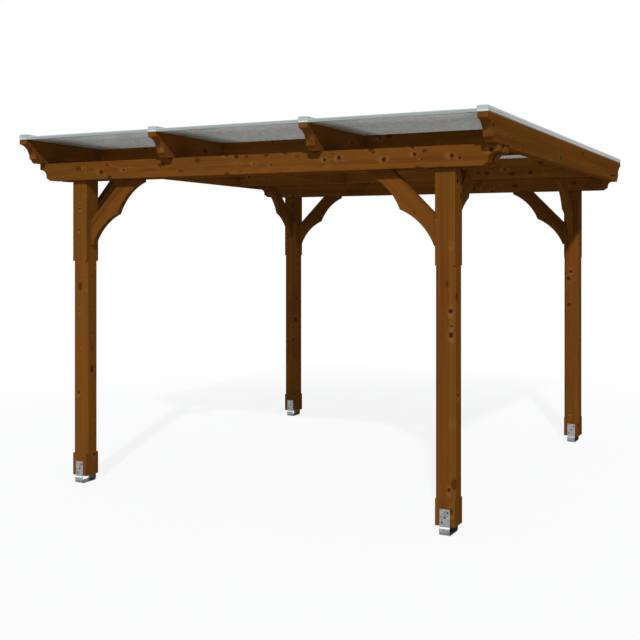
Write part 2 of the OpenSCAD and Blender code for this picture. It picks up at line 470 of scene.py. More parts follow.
@dataclass(frozen=True)
class SpangleEffect(Effect):
    """Hot-dip zinc: flat crystal plates of slightly different grey, with dull streaks."""

    name = "zinc_spangle"
    takes = (("Place", "Vector"), ("Scale", "Float"))
    gives = (("Plate", "Float"), ("Seam", "Float"), ("Dull", "Float"))
    wave_cells: Triple = (60.0, 60.0, 60.0)
    wave: Triple = (0.012, 0.012, 0.012)
    seam_edge: Span = (0.07, 0.0)
    streaks: Mottle = Mottle((18.0, 18.0, 9.0), 4.0, 0.35, 0.7)

    def lay(self, w: Wiring, source: Any) -> dict[str, Socket]:
        """Lays the crystals: one tone for each cell, seams between cells, and dull streaks.

        Args:
            w: the group's wiring.
            source: the group's inputs.

        Returns:
            The plates' tone, the seams and the dull streaks.
        """
        bent = w.bent(source["Place"], self.wave_cells, 2.0, self.wave)
        feeds = {"Vector": bent, "Scale": source["Scale"]}
        tones = w.add("TexVoronoi", feeds).outputs["Color"]
        seam = w.add("TexVoronoi", feeds, feature="DISTANCE_TO_EDGE").outputs[0]
        return {
            "Plate": w.add("SeparateColor", {0: tones}).outputs[0],
            "Seam": w.ramp(seam, *self.seam_edge),
            "Dull": self.streaks.lay(w, source["Place"]),
        }


@dataclass(frozen=True)
class DrawingEffect(Effect):
    """Fine drawing or turning lines along metal, with patches of tarnish."""

    name = "drawing_lines"
    takes = (("Place", "Vector"), ("Lines", "Vector"))
    gives = (("Tone", "Float"), ("Height", "Float"))
    line_share: float = 0.5
    tarnish: Mottle = Mottle((7.0, 3.0, 7.0), 4.0, 0.4, 0.72)
    tarnish_share: float = 0.4

    def lay(self, w: Wiring, source: Any) -> dict[str, Socket]:
        """Lays the lines, at the cells to a metre that the group is given, and the tarnish.

        Args:
            w: the group's wiring.
            source: the group's inputs.

        Returns:
            Tone and height.
        """
        line = w.noise(source["Place"], source["Lines"], 3.0)
        patch = w.times(self.tarnish.lay(w, source["Place"]), self.tarnish_share)
        return {"Tone": w.plus(w.times(line, self.line_share), patch, clamp=True), "Height": line}


@dataclass(frozen=True)
class AgeingEffect(Effect):
    """Aged plastic and rubber: slow fading and fine lines along the profile."""

    name = "faded_plastic"
    takes = (("Place", "Vector"),)
    gives = (("Aged", "Float"), ("Fine", "Float"))
    fading: Mottle = Mottle((5.0, 2.0, 30.0), 4.0, 0.35, 0.72)
    fine_cells: Triple = (380.0, 20.0, 380.0)

    def lay(self, w: Wiring, source: Any) -> dict[str, Socket]:
        """Lays the fading and the fine lines."""
        place = source["Place"]
        return {"Aged": self.fading.lay(w, place), "Fine": w.noise(place, self.fine_cells)}


@dataclass(frozen=True)
class SheetEndEffect(Effect):
    """The end of a hollow sheet behind a strip: its cells, and a line that wavers a little."""

    name = "sheet_end"
    takes = (("Place", "Vector"),)
    gives = (("Cell", "Float"), ("Waver", "Float"))
    cells: Triple = (62.0, 1.0, 1.0)
    waver_cells: Triple = (9.0, 9.0, 9.0)
    waver: float = 0.002

    def lay(self, w: Wiring, source: Any) -> dict[str, Socket]:
        """Lays the cells and the waver."""
        waver = w.times(w.noise(source["Place"], self.waver_cells, 3.0), self.waver)
        return {"Cell": w.noise(source["Place"], self.cells, 1.0), "Waver": waver}


# ---- finishes


def bare(owner: Material | bpy.types.World) -> Wiring:
    """Empties a node tree.

    Args:
        owner: the material or world that has it.

    Returns:
        Its wiring.
    """
    owner.use_nodes = True
    owner.node_tree.nodes.clear()
    return Wiring(owner.node_tree)


def toned(colour: Triple, by: float) -> Triple:
    """Scales a colour, up to white."""
    return tuple(min(1.0, c * by) for c in colour)


class Coat(Wiring):
    """The wiring of one material, and the Object coordinates that its patterns read."""

    def __init__(self, name: str) -> None:
        """Starts a material.

        Args:
            name: its name.
        """
        self.material = bpy.data.materials.new(name)
        super().__init__(bare(self.material).tree)
        self.own = self.add("TexCoord").outputs["Object"]

    def closed(self, feeds: dict[str, Any], **relief: Any) -> Material:
        """Puts the Principled shader on the output, with a relief under its normal.

        Args:
            feeds: shader input and what feeds it.
            **relief: the Bump node's Strength, Distance, Height and Normal.

        Returns:
            The finished material.
        """
        bump = self.add("Bump", relief).outputs[0]
        shader = self.add("BsdfPrincipled", {**feeds, "Normal": bump})
        self.add("OutputMaterial", {"Surface": shader.outputs[0]})
        return self.material


@dataclass(frozen=True)
class StainedTimber:
    """Knotty spruce under a matt brown glaze."""

    light: Triple = (0.188, 0.062, 0.0098)
    dark: Triple = (0.1, 0.032, 0.005)
    knot: Triple = (0.044, 0.0125, 0.0022)
    stain: Triple = (0.118, 0.037, 0.0048)
    halo: Triple = (0.25, 0.105, 0.03)
    tint: Triple = (0.128, 0.055, 0.0085)
    tone: Span = (0.93, 1.07)
    worn: Triple = (0.23, 0.1, 0.026)
    worn_share: float = 0.45
    damp: Triple = (0.06, 0.022, 0.005)
    damp_share: float = 0.16
    pith_along: Span = (4.0, 91.0)
    pith_aside: Span = (0.045, 0.085)
    ring_width: float = 0.0075
    ring_swing: Span = (0.85, 1.2)
    arris: float = 0.003
    gloss: float = 0.0

    def material(
        self, name: str, lay: Lay, knottiness: float, middle: Vector, draw: np.random.Generator
    ) -> Material:
        """Makes the finish of one piece, with the grain along it and its own place in the log.

        Args:
            name: the piece's name.
            lay: the direction of the grain.
            knottiness: the share of the places for knots that hold one.
            middle: the middle of the piece.
            draw: the generator that draws the pith's place, the tone and the ring width.

        Returns:
            The material.
        """
        w = Coat(name)
        along = Vector(lay.value).normalized()
        side = along.orthogonal().normalized()
        turn = Matrix((along, side, along.cross(side)))
        angle = draw.uniform(0.0, 2.0 * math.pi)
        aside = draw.uniform(*self.pith_aside)
        start = draw.uniform(*self.pith_along)
        pith = Vector((start, aside * math.cos(angle), aside * math.sin(angle)))
        tone = float(draw.uniform(*self.tone))
        shift = pith - turn @ middle
        feeds = {"Vector": w.own, "Rotation": turn.to_euler(), "Location": shift}
        place = w.add("Mapping", feeds).outputs[0]
        feeds = {
            "Place": place,
            "Ring Width": self.ring_width * float(draw.uniform(*self.ring_swing)),
            "Knottiness": knottiness,
            "Light": toned(self.light, tone),
            "Dark": toned(self.dark, tone),
            "Knot": self.knot,
            "Stain": self.stain,
            "Halo": toned(self.halo, tone),
            "Tint": toned(self.tint, tone),
        }
        grain = GrainEffect().place(w, feeds)
        edge = ArrisEffect().place(w, {"Place": place, "Radius": self.arris})
        damp = GrimeEffect().place(w, {"Place": w.own})["Mask"]
        layers = (
            (w.times(edge["Mask"], self.worn_share), self.worn),
            (w.times(damp, self.damp_share), self.damp),
        )
        feeds = {
            "Base Color": w.layered(grain["Colour"], layers),
            "Roughness": grain["Roughness"],
            "Specular IOR Level": self.gloss,
        }
        return w.closed(
            feeds, Strength=0.35, Distance=0.0012, Height=grain["Height"], Normal=edge["Normal"]
        )


@dataclass(frozen=True)
class GalvanisedSteel:
    """Bent strap with a hot-dip zinc coat."""

    pale: Triple = (0.37, 0.385, 0.38)
    deep: Triple = (0.2, 0.21, 0.21)
    dull: Triple = (0.28, 0.28, 0.26)
    dull_share: float = 0.6
    rubbed: Triple = (0.82, 0.8, 0.74)
    rubbed_share: float = 0.8
    # Painted highlight: the near-white colour given to faces that tilt up, as if they caught the
    # light.
    painted_highlight: Triple = (0.92, 0.93, 0.92)
    # Near black for the sheared edges, and also painted shade: the band low down, the discs round
    # the holes and the inside.
    cut_edge_and_shade: Triple = (0.05, 0.048, 0.044)
    highlight_and_cut_share: float = 0.85
    crystals: float = 85.0
    arris: float = 0.002
    bore: Span = (0.058, 0.062)
    ring: Span = (0.0065, 0.0048)
    shade_band_bottom: tuple[float, ...] = (0.0, 0.012, 0.3, 0.75)
    shade_band_top: Span = (0.026, 0.014)
    shade_band_share: float = 0.5
    inside_shade: float = 0.8
    rough: float = 0.3
    rough_swing: float = 0.16
    metallic: float = 0.75

    def material(self, name: str, holes: list[Vector], middle: Vector) -> Material:
        """Makes the finish of one strap: crystals, dark sheared edges, a painted highlight on faces
        tilted up, and painted shade low down, round the holes and inside.

        The inside of the strap, where the normal's y and the distance from the middle have opposite
        signs, and the faces that point straight up are painted dark as shade. The ring round a hole
        is a disc about the hole's axis, which runs along y, painted dark as shade.

        Args:
            name: the material's name.
            holes: the middle of each screw hole.
            middle: the middle of the strap.

        Returns:
            The material.
        """
        w = Coat(name)
        zinc = SpangleEffect().place(w, {"Place": w.own, "Scale": self.crystals})
        edge = ArrisEffect().place(w, {"Place": w.own, "Radius": self.arris})
        at = w.axes(w.own)
        facing = w.axes(w.add("NewGeometry").outputs["Normal"])
        # Painted highlight: faces that tilt up, such as the strap's bend, are painted near white.
        upward_highlight_mask = w.times(w.ramp(facing[2], 0.25, 0.6), w.ramp(facing[2], 0.97, 0.85))
        bore = w.times(w.ramp(at[2], *self.bore), w.ramp(w.size(facing[1]), 0.6, 0.2))
        sheared = w.larger(w.ramp(w.size(facing[0]), 0.75, 0.95), bore)
        # Painted shade: the inside of the U and the faces that point straight up are painted near
        # black.
        within = w.ramp(w.times(w.minus(at[1], middle.y), facing[1]), -0.01, -0.03)
        inside = w.larger(within, w.ramp(facing[2], 0.97, 0.995))
        # Painted shade: a dark band low on the strap, strongest about 1.2 to 1.4 cm up and gone by
        # 2.6 cm, stands in for the shading of the curved bend.
        shade_band = w.times(w.ramp(at[2], *self.shade_band_bottom), w.ramp(at[2], *self.shade_band_top))
        layers = [
            (w.times(zinc["Dull"], self.dull_share), self.dull),
            (w.times(edge["Mask"], self.rubbed_share), self.rubbed),
            (w.times(shade_band, self.shade_band_share), self.cut_edge_and_shade),
        ]
        # Painted shade: a dark disc round each hole, a little wider than the screw head, stands in
        # for the shade in the hole.
        for hole in holes:
            flat = w.scaled(w.vector("SUBTRACT", w.own, hole), (1.0, 0.0, 1.0))
            layers.append((w.ramp(w.length(flat), *self.ring), self.cut_edge_and_shade))
        layers += [
            (w.times(upward_highlight_mask, self.highlight_and_cut_share), self.painted_highlight),
            (w.times(sheared, self.highlight_and_cut_share), self.cut_edge_and_shade),
            (w.times(inside, self.inside_shade), self.cut_edge_and_shade),
        ]
        rough = w.times(w.plus(zinc["Plate"], zinc["Dull"]), self.rough_swing)
        feeds = {
            "Base Color": w.layered(w.blend(zinc["Plate"], self.deep, self.pale), layers),
            "Roughness": w.plus(rough, self.rough),
            "Metallic": w.minus(self.metallic, w.times(sheared, 0.5)),
        }
        height = w.minus(w.times(zinc["Plate"], 0.5), zinc["Seam"])
        return w.closed(
            feeds, Strength=0.25, Distance=0.0004, Height=height, Normal=edge["Normal"]
        )


@dataclass(frozen=True)
class DrawnMetal:
    """Extruded or turned metal: drawing lines along one axis and a little tarnish."""

    pale: Triple
    deep: Triple
    metallic: float = 0.8
    smooth: float = 0.34
    lines: Triple = (700.0, 5.0, 700.0)
    gloss: float = 0.5
    rough_swing: float = 0.2

    def material(self, name: str) -> Material:
        """Makes the finish: lengthwise drawing lines in colour, roughness and relief.

        Args:
            name: the material's name.

        Returns:
            The material.
        """
        w = Coat(name)
        drawing = DrawingEffect().place(w, {"Place": w.own, "Lines": self.lines})
        feeds = {
            "Base Color": w.blend(drawing["Tone"], self.pale, self.deep),
            "Roughness": w.plus(w.times(drawing["Tone"], self.rough_swing), self.smooth),
            "Metallic": self.metallic,
            "Specular IOR Level": self.gloss,
        }
        return w.closed(feeds, Strength=0.15, Distance=0.0003, Height=drawing["Height"])


@dataclass(frozen=True)
class ClearSheet:
    """Hollow clear sheet: faint inner webs, milky body and soft streaks of dust."""

    body: Triple = (0.59, 0.612, 0.535)
    milky: Triple = (0.66, 0.685, 0.605)
    streaks: Mottle = Mottle((1.0, 8.0, 1.0), 4.0, 0.38, 0.68)
    slant: float = 0.12
    dust: Triple = (0.52, 0.537, 0.46)
    clouds: Mottle = Mottle((1.1, 0.8, 1.0), 3.0, 0.35, 0.7)
    dust_share: float = 0.5
    web: Triple = (0.5, 0.52, 0.51)
    web_pitch: float = 0.016
    web_edge: Span = (0.1, 0.03)
    web_share: float = 0.07
    fine_cells: Triple = (160.0, 12.0, 60.0)
    rough: float = 0.22
    rough_swing: float = 0.1
    gloss: float = 0.1
    cover: float = 0.68
    shade: float = 0.66
    cloud_cover: float = 0.03
    web_cover: float = 0.012

    def material(self, name: str) -> Material:
        """Makes the finish.

        Webs are where the place across, over the web pitch, is close to half way between whole
        numbers. The cover is the alpha that is seen, and the shade the alpha that light meets.

        Args:
            name: the material's name.

        Returns:
            The material.
        """
        w = Coat(name)
        part = w.math("FRACT", w.math("DIVIDE", w.axes(w.own)[0], self.web_pitch))
        web = w.ramp(w.size(w.minus(part, 0.5)), *self.web_edge)
        slant = w.add("Mapping", {"Vector": w.own, "Rotation": (0.0, 0.0, self.slant)}).outputs[0]
        streak = self.streaks.lay(w, slant)
        cloud = self.clouds.lay(w, w.own)
        layers = (
            (w.times(cloud, self.dust_share), self.dust),
            (w.times(web, self.web_share), self.web),
        )
        uneven = w.times(w.minus(cloud, streak), self.cloud_cover)
        uneven = w.plus(uneven, w.times(web, self.web_cover))
        path = w.add("LightPath").outputs
        lit = w.larger(path["Is Shadow Ray"], path["Is Diffuse Ray"])
        cover = w.plus(w.times(lit, self.shade - self.cover), self.cover)
        fine = w.times(w.noise(w.own, self.fine_cells, 3.0), self.rough_swing)
        feeds = {
            "Base Color": w.layered(w.blend(streak, self.body, self.milky), layers),
            "Roughness": w.plus(fine, self.rough),
            "Specular IOR Level": self.gloss,
            "Alpha": w.plus(uneven, cover),
        }
        return w.closed(feeds, Strength=0.05, Distance=0.0004, Height=web)


@dataclass(frozen=True)
class TwoToneStrip:
    """Profile at the edge of a sheet, of one tone below a height and another above it."""

    face: Triple = (0.305, 0.345, 0.318)
    lip: Triple = (0.455, 0.51, 0.475)
    lip_height: float = 0.012
    step: float = 0.004
    cell_tone: float = 0.7
    cell_share: float = 0.12
    arris: float = 0.0006

    def material(self, name: str, up: Triple, level: float) -> Material:
        """Makes the finish: the tone follows the height over the underside of the roof.

        Args:
            name: the material's name.
            up: the direction square to the roof.
            level: the underside's distance from zero along that direction.

        Returns:
            The material.
        """
        w = Coat(name)
        end = SheetEndEffect().place(w, {"Place": w.own})
        edge = ArrisEffect().place(w, {"Place": w.own, "Radius": self.arris})
        height = w.plus(w.minus(w.vector("DOT_PRODUCT", w.own, up), level), end["Waver"])
        lip = w.ramp(height, self.lip_height, self.lip_height + self.step)
        cell = w.times(w.ramp(end["Cell"], 0.4, 0.7), self.cell_share)
        colour = w.blend(lip, self.face, self.lip)
        feeds = {
            "Base Color": w.blend(cell, colour, toned(self.face, self.cell_tone)),
            "Roughness": w.ramp(end["Cell"], 0.2, 0.8, 0.3, 0.42),
        }
        return w.closed(
            feeds, Strength=0.1, Distance=0.0003, Height=end["Cell"], Normal=edge["Normal"]
        )


@dataclass(frozen=True)
class MouldedStrip:
    """Plain plastic or rubber profile with scuffs along its edges."""

    body: Triple
    aged: Triple
    smooth: float
    aged_share: float = 0.8
    rub_tone: float = 1.25
    rub_share: float = 0.3
    aged_rough: float = 0.15
    fine_rough: float = 0.1
    arris: float = 0.0008

    def material(self, name: str) -> Material:
        """Makes the finish: slow ageing, fine draw lines and rubbed edges.

        Args:
            name: the material's name.

        Returns:
            The material.
        """
        w = Coat(name)
        ageing = AgeingEffect().place(w, {"Place": w.own})
        edge = ArrisEffect().place(w, {"Place": w.own, "Radius": self.arris})
        layers = (
            (w.times(ageing["Aged"], self.aged_share), self.aged),
            (w.times(edge["Mask"], self.rub_share), toned(self.body, self.rub_tone)),
        )
        fine = w.times(w.minus(ageing["Fine"], 0.5), self.fine_rough)
        rough = w.plus(w.times(ageing["Aged"], self.aged_rough), w.plus(fine, self.smooth))
        feeds = {"Base Color": w.layered(self.body, layers), "Roughness": rough}
        return w.closed(
            feeds, Strength=0.1, Distance=0.0004, Height=ageing["Fine"], Normal=edge["Normal"]
        )


# ---- mesh making


def shown(name: str, data: Any) -> bpy.types.Object:
    """Puts a new object in the scene.

    Args:
        name: its name.
        data: its mesh, lamp or camera.

    Returns:
        The object.
    """
    made = bpy.data.objects.new(name, data)
    bpy.context.scene.collection.objects.link(made)
    return made


@dataclass
class Solid:
    """A closed mesh: points, n by 3, and blocks of faces, each row the points of one face."""

    points: np.ndarray
    faces: list[np.ndarray]

    def moved(self, places: np.ndarray) -> "Solid":
        """Repeats the solid.

        Args:
            places: the offset of each copy, n by 3.

        Returns:
            One solid that holds the copies.
        """
        first = len(self.points) * np.arange(len(places))[:, None, None]
        faces = [(first + block).reshape(-1, block.shape[1]) for block in self.faces]
        return Solid((places[:, None] + self.points).reshape(-1, 3), faces)

    def joined(self, others: Iterable["Solid"]) -> "Solid":
        """Puts this solid and others into one.

        Args:
            others: the other solids.

        Returns:
            The joined solid.
        """
        made = Solid(self.points, list(self.faces))
        for other in others:
            made.faces += [f + len(made.points) for f in other.faces]
            made.points = np.vstack([made.points, other.points])
        return made

    def turned(self, axes: np.ndarray, origin: np.ndarray) -> "Solid":
        """Gives the solid at origin + x·axes[0] + y·axes[1] + z·axes[2]."""
        return Solid(self.points @ axes + origin, self.faces)

    def piece(
        self, name: str, material: Material, slot: Slot, smooth: bool = False
    ) -> bpy.types.Object:
        """Makes the Blender object, which rides on the frame's one body.

        Args:
            name: the piece's name.
            material: its finish.
            slot: the record's material slot; not used.
            smooth: shades its faces as one smooth surface, apart from edges over 35 degrees.

        Returns:
            The object.
        """
        mesh = bpy.data.meshes.new(name)
        faces = [face for block in self.faces for face in block.tolist()]
        mesh.from_pydata(self.points.tolist(), [], faces)
        mesh.materials.append(material)
        if smooth:
            mesh.polygons.foreach_set("use_smooth", np.ones(len(mesh.polygons), bool))
            mesh.set_sharp_from_angle(angle=math.radians(35.0))
        mesh.update()
        made = shown(name, mesh)
        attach(made, "root")
        log.info("%s: %d vertices, %d faces", name, len(mesh.vertices), len(mesh.polygons))
        return made


def eased(outline: np.ndarray, radius: float, steps: int) -> np.ndarray:
    """Rounds every corner of a closed outline.

    Each corner P with its tangent points A and B, radius away along both edges or nearly half
    an edge where that is shorter, becomes the curve (1-t)²A + 2t(1-t)P + t²B.

    Args:
        outline: n corner points, n by 2.
        radius: how far from the corner the curve starts.
        steps: points on each curve.

    Returns:
        n times steps points.
    """
    before, after = np.roll(outline, 1, 0) - outline, np.roll(outline, -1, 0) - outline
    long_before = np.linalg.norm(before, axis=1)[:, None]
    long_after = np.linalg.norm(after, axis=1)[:, None]
    a = outline + before / long_before * np.minimum(radius, 0.45 * long_before)
    b = outline + after / long_after * np.minimum(radius, 0.45 * long_after)
    t = np.linspace(0.0, 1.0, steps)[None, :, None]
    curve = (1 - t) ** 2 * a[:, None] + 2 * t * (1 - t) * outline[:, None] + t**2 * b[:, None]
    return curve.reshape(-1, 2)


def drawn(outline: np.ndarray, start: float, end: float) -> Solid:
    """Carries a closed outline along y.

    Point i of each ring is (outline x, start or end, outline z), with the outline's two columns
    as x and z; the sides are quads and each end is one flat face.

    Args:
        outline: n points, n by 2, anticlockwise when x is right and z is up.
        start: y of the first ring.
        end: y of the last ring.

    Returns:
        The closed solid.
    """
    ring = np.arange(len(outline))
    after = np.roll(ring, -1)
    last = ring + len(ring)
    x, z = np.tile(outline, (2, 1)).T
    points = np.stack([x, np.repeat([start, end], len(ring)), z], 1)
    sides = np.stack([ring, after, after + len(ring), last], 1)
    return Solid(points, [sides, np.stack([ring, last[::-1]])])


def spun(profile: np.ndarray, around: int) -> Solid:
    """Spins a profile round the z axis.

    Point (i, j) is (r cos a, r sin a, h) at angle a = 2πj/around. Its radius r is the profile's,
    blended by how hexagonal the ring is towards a hexagon's, which is r cos 30° over the cosine
    of the angle to the nearest flat's middle.

    Args:
        profile: rows of radius, height and how hexagonal the ring is, from the middle of the
            bottom to the middle of the top.
        around: points in each ring.

    Returns:
        The closed solid, with its ends as flat faces.
    """
    angle = np.linspace(0.0, 2.0 * math.pi, around, endpoint=False)
    hexagon = math.cos(math.pi / 6) / np.cos((angle % (math.pi / 3)) - math.pi / 6)
    radius = profile[:, 0:1] * (1.0 + profile[:, 2:3] * (hexagon[None] - 1.0))
    height = np.repeat(profile[:, 1:2], around, 1)
    points = np.stack([radius * np.cos(angle), radius * np.sin(angle), height], 2).reshape(-1, 3)
    rows = np.arange(len(profile) - 1)[:, None] * around
    ring = np.arange(around)
    here, after = rows + ring, rows + (ring + 1) % around
    sides = np.stack([here, after, after + around, here + around], 2).reshape(-1, 4)
    return Solid(points, [sides, np.stack([ring[::-1], ring + rows[-1] + around])])


# ---- sub-assemblies


def dress_node(node: bpy.types.Object, material: Material) -> None:
    """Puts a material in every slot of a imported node.

    Args:
        node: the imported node.
        material: its finish.
    """
    if not node.material_slots:
        node.data.materials.append(material)
    for slot in node.material_slots:
        slot.material = material
    log.info("%s: dressed in %s", node.name, material.name)


@dataclass
class TimberFrame:
    """Posts, beams, rafters, blocks and braces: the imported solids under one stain."""

    finish: StainedTimber = StainedTimber()
    seed: int = 11
    kinds: tuple[str, ...] = ("post", "beam", "rafter", "block", "brace")
    knottiness: tuple[float, ...] = (0.34, 0.85, 0.2, 0.4, 0.3)

    def lay_of(self, node: str) -> Lay:
        """Gives the direction of the grain.

        Args:
            node: the timber's name, which ends with its corner: f or b, then l or r.

        Returns:
            The direction.
        """
        kind, end, side = node.split("_")[0], node[-2], node[-1]
        if kind == "brace" and "_x_" in node:
            return Lay.RISING_RIGHT if side == "l" else Lay.RISING_LEFT
        if kind == "brace":
            return Lay.RISING_BACK if end == "f" else Lay.RISING_FRONT
        return {"post": Lay.UPRIGHT, "rafter": Lay.ALONG_Y}.get(kind, Lay.ALONG_X)

    def dress(self, nodes: Nodes) -> None:
        """Gives every timber its finish.

        Args:
            nodes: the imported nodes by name.
        """
        draw = np.random.default_rng(self.seed)
        share = dict(zip(self.kinds, self.knottiness))
        for name in sorted(nodes):
            kind = name.split("_")[0]
            if kind in share:
                low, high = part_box(name)
                place = (self.lay_of(name), share[kind], (low + high) / 2)
                dress_node(nodes[name], self.finish.material("timber_" + name, *place, draw))


@dataclass
class Anchors:
    """Four bent straps under the posts, each with three screws in both plates."""

    corners: tuple[str, ...] = ("fl", "fr", "bl", "br")
    plate_face: float = 0.065
    hole_step: Triple = (0.018, 0.0, 0.029)
    hole_height: float = 0.102
    head_radius: float = 0.0037
    head_depth: float = 0.0032
    steel: GalvanisedSteel = GalvanisedSteel()
    black: DrawnMetal = DrawnMetal(
        (0.014, 0.0135, 0.013), (0.006, 0.006, 0.0062), 0.0, 0.6, (300.0, 300.0, 300.0), 0.1
    )

    def head(self) -> Solid:
        """Makes one countersunk head, facing +z: a flat disc with a hexagonal drive in it.

        Returns:
            The head.
        """
        r = self.head_radius
        under = [(r * 0.55, -0.0030, 0), (r * 0.97, -0.0004, 0), (r, -0.0001, 0)]
        face = [(r * 0.96, 0.0, 0), (r * 0.52, 0.0, 1)]
        drive = [(r * 0.46, -0.0003, 1), (r * 0.40, -0.0014, 1), (r * 0.12, -0.0017, 0)]
        return spun(np.array(under + face + drive), 24)

    def build(self, nodes: Nodes) -> None:
        """Dresses the straps and puts the screws in their holes.

        Args:
            nodes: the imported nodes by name.
        """
        black = self.black.material("black_screw")
        step = np.arange(-1, 2)[:, None] * np.array([self.hole_step])
        for corner in self.corners:
            node = nodes["anchor_" + corner]
            low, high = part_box(node.name)
            middle = (low + high) / 2
            places = np.array([middle.x, middle.y, self.hole_height]) + step
            holes = [Vector(place) for place in places.tolist()]
            dress_node(node, self.steel.material("galvanised_strap_" + corner, holes, middle))
            sides = []
            for facing in (-1.0, 1.0):
                axes = np.array([[-facing, 0.0, 0.0], [0.0, 0.0, 1.0], [0.0, facing, 0.0]])
                face = np.array([0.0, facing * (self.plate_face - self.head_depth), 0.0])
                sides.append(self.head().turned(axes, face).moved(places))
            sides[0].joined(sides[1:]).piece("screws_" + corner, black, Slot.STEEL)


@dataclass
class RoofPlane:
    """The sloping plane on top of the rafters, read from the middle sheet."""

    sheet: str = "sheet_2"
    thickness: float = 0.016
    inset: float = 0.002
    front: np.ndarray = field(init=False)
    axes: np.ndarray = field(init=False)
    length: float = field(init=False)

    def __post_init__(self) -> None:
        """Solves the slope from the sheet's box.

        With length L, thickness t and slope s the box is L cos s + t sin s deep and
        L sin s + t cos s high, so tan s is found by repeating (high - t cos s) over
        (deep - t sin s).
        """
        low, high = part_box(self.sheet)
        deep, tall = high.y - low.y, high.z - low.z
        thick = self.thickness
        slope = 0.0
        for _ in range(8):
            slope = math.atan2(tall - thick * math.cos(slope), deep - thick * math.sin(slope))
        cos, sin = math.cos(slope), math.sin(slope)
        self.axes = np.array([[1.0, 0.0, 0.0], [0.0, cos, -sin], [0.0, sin, cos]])
        self.front = np.array([0.0, low.y, high.z - thick * cos]) - self.inset * self.axes[1]
        self.length = (deep - thick * sin) / cos + 2 * self.inset

    def lay(self, solid: Solid, across: float) -> Solid:
        """Lays a solid drawn level, with x across and y down the roof, at one place across."""
        return solid.turned(self.axes, self.front + np.array([across, 0.0, 0.0]))


